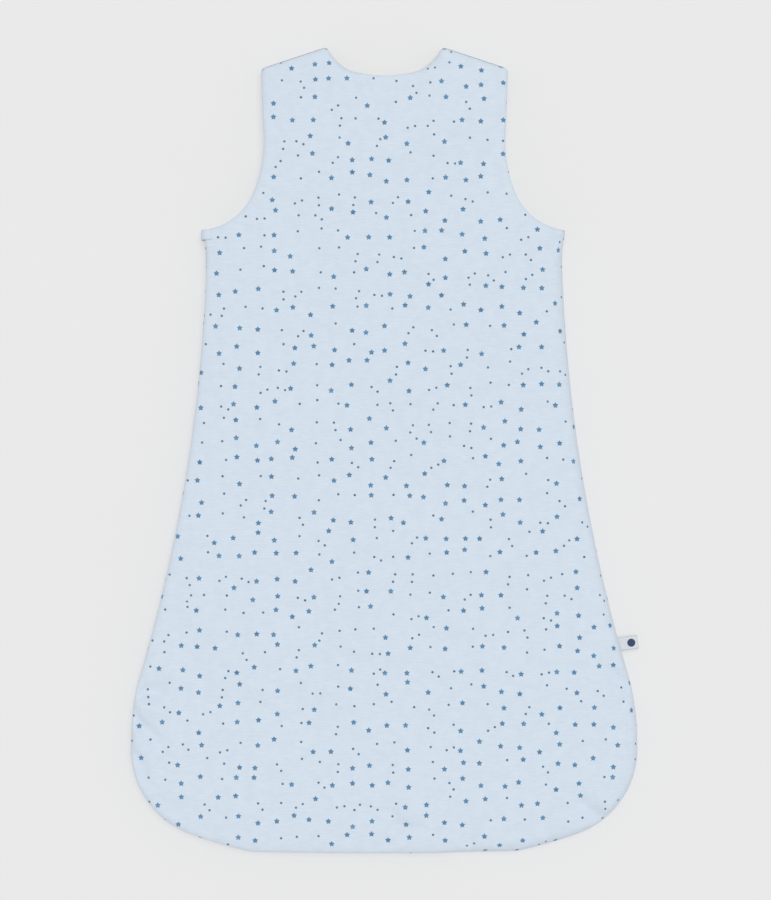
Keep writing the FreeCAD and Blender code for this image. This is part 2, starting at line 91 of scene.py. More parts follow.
# A sewn edge is zip or seam, depending on its side of ZIP_END_X.
BODY_ZONES = ["arm"] * 2 + ["sewn"] * 5
HEM_BEND = -5.200
BACK_NECK_BEND = 0.094
FRONT_NECK_BEND = 0.0501
ZIP_END_X = 0.0585

FOLD_MIDDLE = np.array([0.07875, 0.3405])
FOLD_ALONG = np.array([0.9495, -0.31378])
FOLD_INWARD = np.array([-0.31378, -0.9495])
HINGE_Z = 0.012

FLAP_START = np.array([-0.1565, 0.130])
FLAP_ALONG = np.array([0.414693, -0.909961])
FLAP_ACROSS = np.array([-0.909961, -0.414693])
FLAP_BEND = 0.026

SIDE_CENTRE = np.array([-1.2005, 0.140])
TAPE_RADIUS = 1.0505
ZIP_INSET = 0.0065

OUTLINE_STEP = 0.003
ON_EDGE = 1e-6
CORNER_PASSES = 4
PROFILE_PASSES = 160


def arc(a, b, radius=None):
    """Points 1 mm apart from a to b, without b; a radius above 0 has its centre on the left."""
    a, b = np.array(a, float), np.array(b, float)
    chord = b - a
    length = math.hypot(*chord)
    share = np.arange(max(2, round(length / 0.001)))[:, None]
    share = share / len(share)
    if radius is None:
        return a + chord * share
    side, reach = math.copysign(1, radius), abs(radius)
    left = np.array([-chord[1], chord[0]]) / length
    centre = (a + b) / 2 + left * side * math.sqrt(max(reach**2 - length**2 / 4, 0))
    first = math.atan2(a[1] - centre[1], a[0] - centre[0])
    angle = first + side * share * 2 * math.asin(min(1, length / 2 / reach))
    return centre + reach * np.hstack([np.cos(angle), np.sin(angle)])


def circular_smooth(values, passes):
    for _ in range(passes):
        values = (np.roll(values, 1, 0) + 2 * values + np.roll(values, -1, 0)) / 4
    return values


def along_line(line):
    """The distance from a plan line's start to each of its points."""
    steps = np.hypot(*np.diff(line, axis=0).T)
    return np.concatenate([[0], np.cumsum(steps)])


def resampled(table, along, wanted):
    return np.array([np.interp(wanted, along, column) for column in table.T]).T


def resampled_loop(points, numbers, spacing):
    """A closed line of points and their numbers again, in even steps near the spacing."""
    table = np.hstack([points, numbers])
    table = np.vstack([table, table[:1]])
    along = along_line(table[:, :2])
    count = round(along[-1] / spacing)
    return resampled(table, along, np.arange(count) * along[-1] / count)


def outline(top, top_bends, top_zones, neck_bend, profiles, spacing=OUTLINE_STEP):
    """The plan's loop, clockwise, with the edge profile that holds at each point.

    profiles gives each zone's numbers; they blend into each other along the loop.
    """
    right = top + BODY
    bends = top_bends + BODY_BENDS
    zones = top_zones + BODY_ZONES
    left = [(-x, y) for x, y in reversed(right)]
    chain = right + left
    chain_bends = bends + [HEM_BEND] + bends[::-1] + [neck_bend]
    chain_zones = zones + ["sewn"] + zones[::-1] + ["neck"]
    points, numbers = [], []
    edges = zip(chain, chain[1:] + chain[:1], chain_bends, chain_zones)
    for corner, following, bend, zone in edges:
        for point in arc(corner, following, bend):
            if zone == "sewn":
                numbers.append(profiles["zip" if point[0] < ZIP_END_X else "seam"])
            else:
                numbers.append(profiles[zone])
            points.append(point)
    points = circular_smooth(np.array(points), CORNER_PASSES)
    numbers = circular_smooth(np.array(numbers), PROFILE_PASSES)
    table = resampled_loop(points, numbers, spacing)
    return table[:, :2], table[:, 2:]


def inward_normals(loop):
    along = np.roll(loop, -1, 0) - np.roll(loop, 1, 0)
    along /= np.hypot(*along.T)[:, None]
    return np.stack([along[:, 1], -along[:, 0]], 1)


def nearest(points, loop):
    """For each point: its distance to the loop, where along it, and the way out."""
    run = np.roll(loop, -1, 0) - loop
    square = (run**2).sum(1)
    found = []
    for chunk in np.array_split(points, max(1, len(points) // 1500)):
        away = chunk[:, None] - loop[None]
        share = np.clip((away * run[None]).sum(2) / square[None], 0, 1)
        gap = away - share[..., None] * run[None]
        distance = np.hypot(gap[..., 0], gap[..., 1])
        best = distance.argmin(1)
        rows = np.arange(len(chunk))
        found.append(np.column_stack([
            distance[rows, best], best + share[rows, best], -gap[rows, best]
        ]))
    found = np.vstack(found)
    out = found[:, 2:] / np.maximum(found[:, :1], 1e-9)
    touching = found[:, 0] < ON_EDGE
    out[touching] = -at(inward_normals(loop), found[touching, 1])
    return found[:, 0], found[:, 1], out


def at(numbers, place):
    """The loop's numbers at fractional places along it."""
    low = np.floor(place).astype(int) % len(numbers)
    share = (place % 1)[:, None]
    return numbers[low] * (1 - share) + numbers[(low + 1) % len(numbers)] * share


# Rings of mesh points inside an edge, as shares of the reach over which it rolls.
RING_SHARES = (0.02, 0.07, 0.20, 0.42, 0.76, 1.1, 1.5)


def plan_mesh(loop, reach, spacing, extra=()):
    """Triangles over the plan, finer where its edge rolls over and on the extra points."""
    normals = inward_normals(loop)
    sets = [loop]
    for share in RING_SHARES:
        wanted = reach * share
        ring = loop + normals * wanted[:, None]
        near = np.abs(nearest(ring, loop)[0] - wanted) < 0.1 * wanted
        sets.append(ring[near & inside_loop(ring, loop)])
    jitter = np.random.default_rng(7)
    low, high = loop.min(0), loop.max(0)
    rows = []
    for index, y in enumerate(np.arange(low[1], high[1], spacing * 0.866)):
        xs = np.arange(low[0], high[0], spacing) + (index % 2) * spacing / 2
        rows.append(np.column_stack([xs, np.full(len(xs), y)]))
    grid = np.vstack(rows)
    grid += jitter.uniform(-0.14, 0.14, grid.shape) * spacing
    if len(extra):
        for chunk in np.array_split(extra, 8):
            gap = np.hypot(*(grid[:, None] - chunk[None]).transpose(2, 0, 1)).min(1)
            grid = grid[gap > spacing * 0.6]
        grid = np.vstack([grid, extra])
    distance, place, _ = nearest(grid, loop)
    room = at(reach[:, None], place)[:, 0] * RING_SHARES[-1] + spacing * 0.55
    sets.append(grid[inside_loop(grid, loop) & (distance > room)])
    points = np.vstack(sets)
    edge = [list(range(len(loop)))]
    made = delaunay_2d_cdt([Vector(p) for p in points], [], edge, 1, 1e-8, False)
    flat, faces = np.array([tuple(p) for p in made[0]]), np.array(made[2])
    return flat, faces[inside_loop(flat[faces].mean(1), loop)]


def inside_loop(points, loop):
    x, y = points[:, 0], points[:, 1]
    crossings = np.zeros(len(points), int)
    for a, b in zip(loop, np.roll(loop, -1, 0)):
        spans = (a[1] > y) != (b[1] > y)
        if spans.any():
            slope = (b[0] - a[0]) / (b[1] - a[1])
            crossings += spans & (x < a[0] + (y - a[1]) * slope)
    return crossings % 2 == 1


# ---------- small mesh tools

def smooth_step(value, low, high):
    share = np.clip((value - low) / (high - low), 0, 1)
    return share * share * (3 - 2 * share)


def ripple(points, size, seed):
    """Smooth noise, about -1 to 1, with features of the given size."""
    return np.array([
        noise.noise(Vector((p[0] / size + seed, p[1] / size - seed, seed)))
        for p in points
    ])


def mesh_object(name, points, faces, materials=(), picks=None, uv=None):
    """An object with smooth faces, outward normals and the cloth's own map in metres."""
    mesh = bpy.data.meshes.new(name)
    mesh.from_pydata([tuple(p) for p in points], [], [tuple(map(int, f)) for f in faces])
    obj = bpy.data.objects.new(name, mesh)
    bpy.context.scene.collection.objects.link(obj)
    for material in materials:
        mesh.materials.append(material)
    if picks is not None:
        mesh.polygons.foreach_set("material_index", np.array(picks, np.int32))
    mesh.polygons.foreach_set("use_smooth", np.ones(len(faces), bool))
    layer = mesh.uv_layers.new(name="cloth")
    if uv is None:
        corners = np.zeros(len(mesh.loops), np.int32)
        mesh.loops.foreach_get("vertex_index", corners)
        co = np.array(points, float)[corners]
        uv = np.column_stack([co[:, 0] + 0.8 * co[:, 2], co[:, 1] + 0.6 * co[:, 2]])
    layer.data.foreach_set("uv", np.array(uv, np.float32).ravel())
    shell = bmesh.new()
    shell.from_mesh(mesh)
    bmesh.ops.recalc_face_normals(shell, faces=shell.faces)
    shell.to_mesh(mesh)
    shell.free()
    mesh.update()
    return obj


def bend_at_flap(piece):
    """Bakes a piece's transform into its mesh, for a piece on no single body."""
    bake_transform(piece)


def dress(piece, slot, body, *nodes):
    """Hides the CAD parts a finished piece replaces and puts it on its body; slot is not used.

    A piece on no single body has its transform baked in instead.
    """
    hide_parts(*nodes)
    if body is None:
        bend_at_flap(piece)
    else:
        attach(piece, body)


SETTLE_FRAMES = 20
SKIN_CAP = 0.0018
SKIN_CLOTH = {
    "quality": 5, "mass": 0.2, "tension_stiffness": 12, "compression_stiffness": 12,
    "shear_stiffness": 6, "bending_stiffness": 0.15, "vertex_group_mass": "hold",
    "pin_stiffness": 1.0, "shrink_min": -0.004,
}


def settle(points, faces, hold):
    """Lets a skin that is cut a little too large settle as cloth, by SKIN_CAP at most.

    hold is 1 where the skin is sewn down and small where the wadding only guides it.
    """
    scene = bpy.context.scene
    obj = mesh_object("settling_skin", points, faces)
    group = obj.vertex_groups.new(name="hold")
    for level in np.unique(np.round(hold, 2)):
        members = np.flatnonzero(np.round(hold, 2) == level)
        group.add(members.tolist(), float(level), "REPLACE")
    cloth = obj.modifiers.new("cloth", "CLOTH")
    for key, value in SKIN_CLOTH.items():
        setattr(cloth.settings, key, value)
    cloth.settings.effector_weights.gravity = 0
    cloth.collision_settings.use_collision = False
    cloth.point_cache.frame_start = 1
    cloth.point_cache.frame_end = SETTLE_FRAMES
    for number in range(1, SETTLE_FRAMES + 1):
        scene.frame_set(number)
    shown = obj.evaluated_get(bpy.context.evaluated_depsgraph_get())
    moved = np.zeros(len(points) * 3, np.float32)
    shown.data.vertices.foreach_get("co", moved)
    moved = moved.reshape(-1, 3).astype(float)
    scene.frame_set(1)
    bpy.data.objects.remove(obj)
    step = moved - points
    size = np.linalg.norm(step, axis=1)
    limit = SKIN_CAP * np.tanh(size / SKIN_CAP) / np.maximum(size, 1e-12)
    return points + step * limit[:, None]


# ---------- materials

class Nodes:
    """A short way to write a node material."""

    def __init__(self, name, roughness=None, sheen=0.0, coat=0.0):
        self.material = bpy.data.materials.new(name)
        self.material.use_nodes = True
        self.tree = self.material.node_tree
        self.shader = self.tree.nodes["Principled BSDF"]
        self.shader.inputs["Sheen Weight"].default_value = sheen
        self.shader.inputs["Sheen Roughness"].default_value = 0.6
        self.shader.inputs["Coat Weight"].default_value = coat
        if roughness is not None:
            self.shader.inputs["Roughness"].default_value = roughness

    def feed(self, socket, value):
        if isinstance(value, bpy.types.NodeSocket):
            self.tree.links.new(value, socket)
        else:
            socket.default_value = value

    def add(self, kind, inputs=(), **settings):
        node = self.tree.nodes.new(kind)
        for key, value in settings.items():
            setattr(node, key, value)
        for key, value in dict(inputs).items():
            self.feed(node.inputs[key], value)
        return node

    def math(self, operation, *values):
        return self.add("ShaderNodeMath", enumerate(values), operation=operation).outputs[0]

    def times(self, first, second):
        return self.math("MULTIPLY", first, second)

    def plus(self, first, second):
        return self.math("ADD", first, second)

    def minus(self, first, second):
        return self.math("SUBTRACT", first, second)

    def vector(self, operation, *values):
        node = self.add("ShaderNodeVectorMath", enumerate(values), operation=operation)
        return node.outputs["Value" if operation == "LENGTH" else "Vector"]

    def split(self, where):
        return self.add("ShaderNodeSeparateXYZ", {0: where}).outputs

    def fade(self, value, start, end, to_low=0.0, to_high=1.0):
        given = {
            "Value": value, "From Min": start, "From Max": end,
            "To Min": to_low, "To Max": to_high,
        }
        node = self.add("ShaderNodeMapRange", given, interpolation_type="SMOOTHSTEP")
        return node.outputs["Result"]

    def mix(self, share, first, second):
        given = {0: share, 6: first, 7: second}
        return self.add("ShaderNodeMix", given, data_type="RGBA").outputs[2]

    def noise(self, where, scale, detail=2.0, roughness=0.5):
        given = {"Vector": where, "Scale": scale, "Detail": detail, "Roughness": roughness}
        return self.add("ShaderNodeTexNoise", given).outputs["Fac"]

    def bump(self, height, distance, strength, **below):
        given = {"Height": height, "Distance": distance, "Strength": strength, **below}
        return self.add("ShaderNodeBump", given).outputs["Normal"]

    def finish(self, colour, **others):
        for key, value in {"Base Color": colour, **others}.items():
            self.feed(self.shader.inputs[key], value)
        return self.material


KNIT_PITCH = 0.0011
STITCH_HEIGHT, FUZZ_HEIGHT = 0.00012, 0.0003


def jersey(name, roughness, sheen, stretch):
    """A jersey material's nodes, its cloth map and streaks along its rows."""
    nodes = Nodes(name, roughness, sheen)
    where = nodes.add("ShaderNodeUVMap", uv_map="cloth").outputs["UV"]
    stretched = nodes.vector("MULTIPLY", where, stretch)
    return nodes, where, nodes.noise(stretched, 1.0, 3.0, 0.6)


def jersey_face(nodes, where, stitching, fuzz_scale, fuzz):
    """The bump of a jersey face: columns of small V stitches under a little fuzz."""
    parts = nodes.split(where)
    x = nodes.times(parts[0], 2 * math.pi / KNIT_PITCH)
    y = nodes.times(parts[1], 2 * math.pi / (KNIT_PITCH * 0.75))
    column = nodes.math("COSINE", x)
    lean = nodes.math("ABSOLUTE", nodes.math("SINE", nodes.times(x, 0.5)))
    stitch = nodes.math("SINE", nodes.plus(y, nodes.times(lean, 2.2)))
    knit = nodes.math("MULTIPLY_ADD", stitch, 0.45, nodes.times(column, -0.5))
    face = nodes.bump(knit, STITCH_HEIGHT, stitching)
    rough = nodes.noise(where, fuzz_scale, 3.0, 0.65)
    return nodes.bump(rough, FUZZ_HEIGHT, fuzz, Normal=face)


# The print: one motif per cell of a jittered grid, sizes in metres.
CELL = 0.0164
STAR_REACH = 0.00270
STAR_WAIST = 0.00156
DOT_RADIUS = 0.00107
PAIR_HALF = 0.0033
PRINT_EDGE = 0.00016
STAR_SHARE = 0.526
PAIR_SHARE = 0.38
INK_COVER = 0.93


def printed_jersey():
    """Pale blue heather jersey with scattered small stars and dots."""
    nodes, where, streaks = jersey("printed_jersey", 0.92, 0.12, (90.0, 900.0, 1.0))
    cells = nodes.vector("MULTIPLY", where, (1 / CELL,) * 3)
    scatter = nodes.add(
        "ShaderNodeTexVoronoi",
        {"Vector": cells, "Scale": 1.0, "Randomness": 0.7},
        voronoi_dimensions="2D", feature="F1",
    )
    away = nodes.vector("SUBTRACT", cells, scatter.outputs["Position"])
    away = nodes.vector("MULTIPLY", away, (CELL,) * 3)
    parts = nodes.split(away)
    chance = nodes.add("ShaderNodeSeparateColor", {0: scatter.outputs["Color"]}).outputs
    reach = nodes.vector("LENGTH", away)

    fifth = 2 * math.pi / 5
    angle = nodes.math("ARCTAN2", parts[0], parts[1])
    share = nodes.math("FRACT", nodes.math("MULTIPLY_ADD", angle, 1 / fifth, 0.5))
    folded = nodes.times(nodes.math("ABSOLUTE", nodes.minus(share, 0.5)), fifth)
    across = STAR_WAIST * math.sin(math.pi / 5)
    along = STAR_REACH - STAR_WAIST * math.cos(math.pi / 5)
    size = math.hypot(across, along)
    tip = nodes.times(nodes.math("COSINE", folded), across / size)
    side = nodes.times(nodes.math("SINE", folded), along / size)
    star = nodes.minus(nodes.times(nodes.plus(tip, side), reach), STAR_REACH * across / size)

    dot = nodes.minus(reach, DOT_RADIUS)
    lean = nodes.times(chance[2], 2 * math.pi)
    turned = nodes.add(
        "ShaderNodeVectorRotate", {"Vector": away, "Angle": lean}, rotation_type="Z_AXIS"
    ).outputs[0]
    turned = nodes.vector("ABSOLUTE", turned)
    turned = nodes.vector("SUBTRACT", turned, (PAIR_HALF, 0.0, 0.0))
    pair = nodes.minus(nodes.vector("LENGTH", turned), DOT_RADIUS)

    is_star = nodes.math("LESS_THAN", chance[0], STAR_SHARE)
    is_pair = nodes.math("LESS_THAN", chance[1], PAIR_SHARE)
    dots = nodes.plus(dot, nodes.times(is_pair, nodes.minus(pair, dot)))
    motif = nodes.plus(dots, nodes.times(is_star, nodes.minus(star, dots)))
    inked = nodes.fade(motif, PRINT_EDGE, -PRINT_EDGE)

    patches = nodes.noise(where, 14.0)
    ground = nodes.mix(
        nodes.fade(streaks, 0.3, 0.7), (0.622, 0.712, 0.812, 1), (0.672, 0.756, 0.850, 1)
    )
    ground = nodes.mix(
        nodes.fade(patches, 0.2, 0.8, 0.0, 0.25), ground, (0.682, 0.761, 0.846, 1)
    )
    mottle = nodes.noise(where, 115.0, 3.0, 0.6)
    ground = nodes.mix(
        nodes.fade(mottle, 0.36, 0.66, 0.0, 0.4), ground, (0.600, 0.690, 0.795, 1)
    )
    star_ink = nodes.mix(chance[2], (0.018, 0.145, 0.297, 1), (0.034, 0.198, 0.387, 1))
    dot_ink = nodes.mix(chance[2], (0.026, 0.092, 0.175, 1), (0.048, 0.140, 0.250, 1))
    ink = nodes.mix(is_star, dot_ink, star_ink)
    ink = nodes.mix(nodes.fade(streaks, 0.35, 0.75, 0.0, 0.19), ink, ground)
    colour = nodes.mix(nodes.times(inked, INK_COVER), ground, ink)
    return nodes.finish(colour, Normal=jersey_face(nodes, where, 0.5, 420.0, 0.35))


def lining_jersey():
    """Plain white jersey of the inside."""
    nodes, where, streaks = jersey("lining_jersey", 0.93, 0.1, (120.0, 800.0, 1.0))
    colour = nodes.mix(
        nodes.fade(streaks, 0.3, 0.7), (0.780, 0.790, 0.805, 1), (0.850, 0.855, 0.860, 1)
    )
    return nodes.finish(colour, Normal=jersey_face(nodes, where, 0.6, 300.0, 0.4))


def woven(name, pale, deep, pitch, lean=1.0, roughness=0.8, sheen=0.1):
    """A woven ribbon: warp and weft threads, in object coordinates."""
    nodes = Nodes(name, roughness, sheen)
    where = nodes.add("ShaderNodeTexCoord").outputs["Object"]
    parts = nodes.split(where)
    level = nodes.plus(parts[0], parts[2])
    warp = nodes.math("SINE", nodes.times(level, 2 * math.pi / pitch))
    upright = nodes.times(parts[2], 1 - lean)
    across = nodes.math("MULTIPLY_ADD", parts[1], lean, upright)
    weft = nodes.math("SINE", nodes.times(across, 2 * math.pi / pitch))
    cloth = nodes.times(warp, weft)
    uneven = nodes.times(nodes.noise(where, 260.0), 0.4)
    share = nodes.plus(nodes.fade(cloth, -1.0, 1.0, 0.0, 0.6), uneven)
    colour = nodes.mix(share, deep, pale)
    return nodes.finish(colour, Normal=nodes.bump(cloth, 0.0001, 0.6))


def moulded(name, pale, deep, low, high, coat=0.0):
    """Moulded plastic or enamel: faint mottling, fine scratches, roughness low to high."""
    nodes = Nodes(name, coat=coat)
    where = nodes.add("ShaderNodeTexCoord").outputs["Object"]
    mottle = nodes.noise(where, 180.0, 3.0)
    fine = nodes.noise(where, 900.0, 4.0, 0.6)
    colour = nodes.mix(nodes.fade(mottle, 0.3, 0.7), deep, pale)
    roughness = nodes.fade(fine, 0.25, 0.8, low, high)
    return nodes.finish(colour, Normal=nodes.bump(fine, 0.00003, 0.5), Roughness=roughness)


def floor_material():
    """A pale table that glows a little, so that it shows only a faint contact shadow."""
    nodes = Nodes("studio_floor", 0.95)
    where = nodes.add("ShaderNodeTexCoord").outputs["Object"]
    faint = nodes.noise(where, 3.0)
    colour = nodes.mix(faint, (0.400, 0.400, 0.400, 1), (0.410, 0.410, 0.410, 1))
    nodes.shader.inputs["Emission Color"].default_value = (1.0, 1.0, 1.0, 1)
    nodes.shader.inputs["Emission Strength"].default_value = 0.395
    return nodes.finish(colour)


PRINT = printed_jersey()
LINING = lining_jersey()
TAPE = woven("zip_tape_weave", (0.70, 0.76, 0.83, 1), (0.52, 0.60, 0.70, 1), 0.0009)
TEETH = moulded("zip_coil_nylon", (0.74, 0.79, 0.85, 1), (0.66, 0.72, 0.79, 1), 0.28, 0.5)
ENAMEL = moulded("slider_enamel", (0.66, 0.70, 0.75, 1), (0.58, 0.62, 0.68, 1), 0.22, 0.42, 0.4)
ACETAL = moulded("snap_acetal", (0.84, 0.86, 0.88, 1), (0.78, 0.81, 0.84, 1), 0.2, 0.4)
SATIN = woven("label_satin", (0.72, 0.76, 0.81, 1), (0.62, 0.66, 0.70, 1), 0.0007, 0.8, 0.45, 0.3)
NAVY = woven("emblem_weave", (0.045, 0.085, 0.19, 1), (0.015, 0.03, 0.08, 1), 0.0006)

# ---------- camera and light

FLOOR_SIZE = 60
VIEW_HEIGHT = 0.779
VIEW_OVER = (0.0009, -0.0008)
LENS = 100.0
SENSOR = 36.0
SKY_STRENGTH = 0.56
KEY_STRENGTH = 1.49
KEY_ANGLE = 0.5
KEY_WAY = (-0.06, -0.12, -1.0)


def studio():
    """A pale floor, an even sky, a soft key light from above and a camera above the bag."""
    scene = bpy.context.scene
    bpy.ops.mesh.primitive_plane_add(size=FLOOR_SIZE, location=(0, 0, 0))
    floor = bpy.context.object
    floor.name = "floor"
    floor.data.materials.append(floor_material())

    camera = bpy.data.objects.new("camera", bpy.data.cameras.new("camera"))
    scene.collection.objects.link(camera)
    camera.data.lens = LENS
    camera.data.sensor_width = SENSOR
    camera.location = (*VIEW_OVER, cad_box[1][2] + VIEW_HEIGHT * LENS / SENSOR)
    camera.data.clip_end = 20
    scene.camera = camera

    scene.world = bpy.data.worlds.new("studio")
    scene.world.use_nodes = True
    sky = scene.world.node_tree.nodes["Background"]
    sky.inputs[0].default_value = (1.0, 1.0, 1.0, 1)
    sky.inputs[1].default_value = SKY_STRENGTH

    key = bpy.data.objects.new("key", bpy.data.lights.new("key", "SUN"))
    key.data.energy = KEY_STRENGTH
    key.data.angle = KEY_ANGLE
    key.rotation_euler = Vector(KEY_WAY).to_track_quat("-Z", "Y").to_euler()
    scene.collection.objects.link(key)
    scene.view_settings.view_transform = "Standard"
    scene.view_settings.look = "None"


# ---------- padded panels

# The share of the outer reach over which the printed cloth turns in over the inner skin.
HEM_TURN, ZIP_TURN = 0.21, 0.77
SEAM_HEIGHT = 0.0128
# Per zone: height of the pad's edge, how far in its outer and inner skins level out, and
# the turn-in.
BACK_PROFILES = {
    "neck": (0.0215, 0.0075, 0.0060, HEM_TURN),
    "arm": (0.0215, 0.0075, 0.0060, HEM_TURN),
    "shoulder": (0.0120, 0.0070, 0.0045, HEM_TURN),
    "seam": (SEAM_HEIGHT, 0.0090, 0.0070, HEM_TURN),
    "zip": (0.0200, 0.0085, 0.0050, ZIP_TURN),
}
FRONT_PROFILES = {
    "neck": (0.0045, 0.0060, 0.0050, HEM_TURN),
    "arm": (0.0050, 0.0060, 0.0050, HEM_TURN),
    "end": (0.0095, 0.0040, 0.0040, HEM_TURN),
    "seam": (SEAM_HEIGHT, 0.0090, 0.0070, HEM_TURN),
    "zip": (0.0055, 0.0085, 0.0050, ZIP_TURN),
}
BACK_LOW, BACK_HIGH = 0.018, 0.026
# How much lower the back's skins lie at the shoulder fold, and its outer skin at the edge.
SHOULDER_DROP, LINING_DROP, EDGE_DROP = 0.007, 0.003, 0.0012
FRONT_HIGH = 0.008
STRAP_LOW, STRAP_HIGH = 0.0072, 0.0112
SPACING = 0.0048

# Creases of the back's skin: from, to, depth, half width, in millimetres.
CREASES = [
    ((-220, -215), (-186, -206), 5.2, 7.4),
    ((-219, -226), (-194, -262), 4.4, 5.5),
    ((-219, -264), (-203, -292), 2.8, 5.0),
    ((-193, -305), (-170, -320), 2.0, 5.0),
    ((-150, -334), (-138, -302), 1.8, 5.6),
    ((11, -329), (3, -304), 3.2, 7.4),
    ((-10, -345), (32, -324), 2.2, 5.6),
    ((72, -345), (78, -318), 2.4, 6.4),
    ((216, -213), (188, -186), 4.4, 6.0),
    ((192, -329), (162, -294), 4.2, 7.8),
    ((-151.5, 176.5), (-136, 181.5), 2.0, 3.4),
    ((-140, 196), (-112, 186), 1.4, 4.0),
    ((154, 184), (134, 169), 1.8, 4.0),
    ((-106, 292), (-86, 268), 1.4, 4.6),
    ((106, 290), (87, 270), 1.4, 4.6),
]


def creased(points):
    """How far the creases pull the skin down at each point."""
    pull = np.zeros(len(points))
    for start, end, depth, width in CREASES:
        a, b = np.array(start) * MM, np.array(end) * MM
        run, width = b - a, width * MM
        length = math.hypot(*run)
        away = points - a
        share = (away @ run) / length**2
        off = (away[:, 0] * run[1] - away[:, 1] * run[0]) / length
        bow = 0.0016 * np.sin(share * 5.0 + length * 300)
        spread = width * (0.8 + 0.5 * np.clip(share, 0, 1))
        ends = smooth_step(share, -0.12, 0.12) * (1 - smooth_step(share, 0.55, 1.15))
        lip = np.exp(-(((off - bow) / spread) ** 2))
        rim = np.exp(-(((off - bow - 1.7 * spread) / (1.3 * spread)) ** 2))
        pull += depth * MM * ends * (lip - 0.45 * rim)
    return pull


def puckers(place, distance, loop, depth, seed):
    """Small gathers along the sewn edge, which die out towards the middle."""
    metres = place * math.hypot(*(loop[1] - loop[0]))
    phase = metres / 0.0135 * 2 * math.pi
    phase = phase + 3.5 * np.sin(metres / 0.071 + seed) + 2.0 * np.sin(metres / 0.029)
    strength = 0.55 + 0.45 * np.sin(metres / 0.093 + 2.1 * seed)
    reach = 0.008 + 0.007 * (0.5 + 0.5 * np.sin(metres / 0.041 + seed))
    rising = 1 - np.exp(-((distance / 0.004) ** 2))
    return depth * strength * np.sin(phase) * rising * np.exp(-distance / reach)


EDGE_POWER = 2.4


def rolled(distance, reach):
    """0 at the edge and 1 where the skin is level, a little squarer than a quarter circle."""
    share = np.clip(distance / reach, 0, 1)
    return np.clip(1 - (1 - share) ** EDGE_POWER, 0, 1) ** (1 / EDGE_POWER)


def unrolled(plan, out, distance, reach, drop):
    """Where each point lies on the cloth laid flat: the rolled edge is longer than its plan."""
    share = np.clip(1 - distance / reach, 0, 1)
    angle = np.arcsin(share)
    mean = np.sqrt((reach**2 + drop**2) / 2)
    extra = mean * angle - reach * share
    return plan + out * np.maximum(extra, 0)[:, None]


def sewn_down(distance, reach, firm):
    """How firmly each point of a skin is held: 1 at the edge and where it is firm."""
    hold = np.clip(1.0 - smooth_step(distance, 0.3 * reach, 1.1 * reach), 0.03, 1)
    hold[firm] = 1.0
    return hold


def fold_rows():
    """Close rows of points across the flap's bend."""
    rows = []
    for across in np.arange(0.0, FLAP_BEND + 0.002, 0.0024):
        along = np.arange(0.004, 0.54, 0.0044)
        rows.append(FLAP_START + FLAP_ALONG * along[:, None] + FLAP_ACROSS * across)
    return np.vstack(rows)


def lined(faces, share, turn):
    """1 on the faces of an inner skin that show the lining, 0 on the turned-in edge."""
    turn = np.where(turn > (HEM_TURN + ZIP_TURN) / 2, ZIP_TURN, HEM_TURN)
    return (share[faces].mean(1) > turn[faces].mean(1)).astype(int)


def close_up(name, faces, distance, upper, lower, upper_uv, lower_uv, picks):
    """A closed pad of an upper and a lower skin that share the border's points.

    picks holds the material of each face, for the upper and for the lower skin.
    """
    count = len(distance)
    inner = np.flatnonzero(distance >= ON_EDGE)
    twin = np.arange(count)
    twin[inner] = count + np.arange(len(inner))
    points = np.vstack([upper, lower[inner]])
    under = twin[faces][:, ::-1]
    uv = np.vstack([upper_uv[faces].reshape(-1, 2), lower_uv[faces[:, ::-1]].reshape(-1, 2)])
    both = np.vstack([faces, under])
    return mesh_object(name, points, both, (PRINT, LINING), np.concatenate(picks), uv)


def shoulder_share(plan):
    """1 on the shoulder fold, 0 from 30 mm inwards, on both straps."""
    mirrored = np.column_stack([np.abs(plan[:, 0]), plan[:, 1]])
    inward = (mirrored - FOLD_MIDDLE) @ FOLD_INWARD
    return 1 - smooth_step(inward, 0.002, 0.030)


def back_outline(spacing):
    return outline(
        BACK_TOP, BACK_TOP_BENDS, ["shoulder", "shoulder", "shoulder", "arm"],
        BACK_NECK_BEND, BACK_PROFILES, spacing,
    )


def back_panel():
    """The quilted back: printed skin on top, white lining underneath."""
    loop, profile = back_outline(OUTLINE_STEP)
    plan, faces = plan_mesh(loop, profile[:, 1], SPACING, fold_rows())
    distance, place, out = nearest(plan, loop)
    edge, top_reach, low_reach, turn = at(profile, place).T
    strap = shoulder_share(plan)
    high = BACK_HIGH - SHOULDER_DROP * strap - EDGE_DROP * np.exp(-distance / 0.016)
    low = BACK_LOW - LINING_DROP * strap
    top = edge + (high - edge) * rolled(distance, top_reach)
    under = edge + (low - edge) * rolled(distance, low_reach)
    level = smooth_step(distance, 0.001, 0.010)
    top = top + puckers(place, distance, loop, 0.0005, 1.3)
    top = top - creased(plan) * smooth_step(distance, 0.0006, 0.0060)
    top = top + level * (0.0003 * ripple(plan, 0.055, 2.7) + 0.0001 * ripple(plan, 0.018, 5.1))
    under = under + level * 0.0004 * ripple(plan, 0.05, 8.2)
    skin = np.column_stack([plan, top])
    skin = settle(skin, faces, sewn_down(distance, top_reach, strap > 0.05))
    lining = np.column_stack([plan, under])
    flat = unrolled(plan, out, distance, top_reach, high - edge)
    pad = close_up(
        "back_panel", faces, distance, skin, lining, flat, plan,
        (np.zeros(len(faces)), lined(faces, distance / top_reach, turn)),
    )
    dress(
        pad, "printed_jersey", None, "back_shell", "back_wadding", "back_lining",
        "flap_shell", "flap_wadding", "flap_lining",
    )


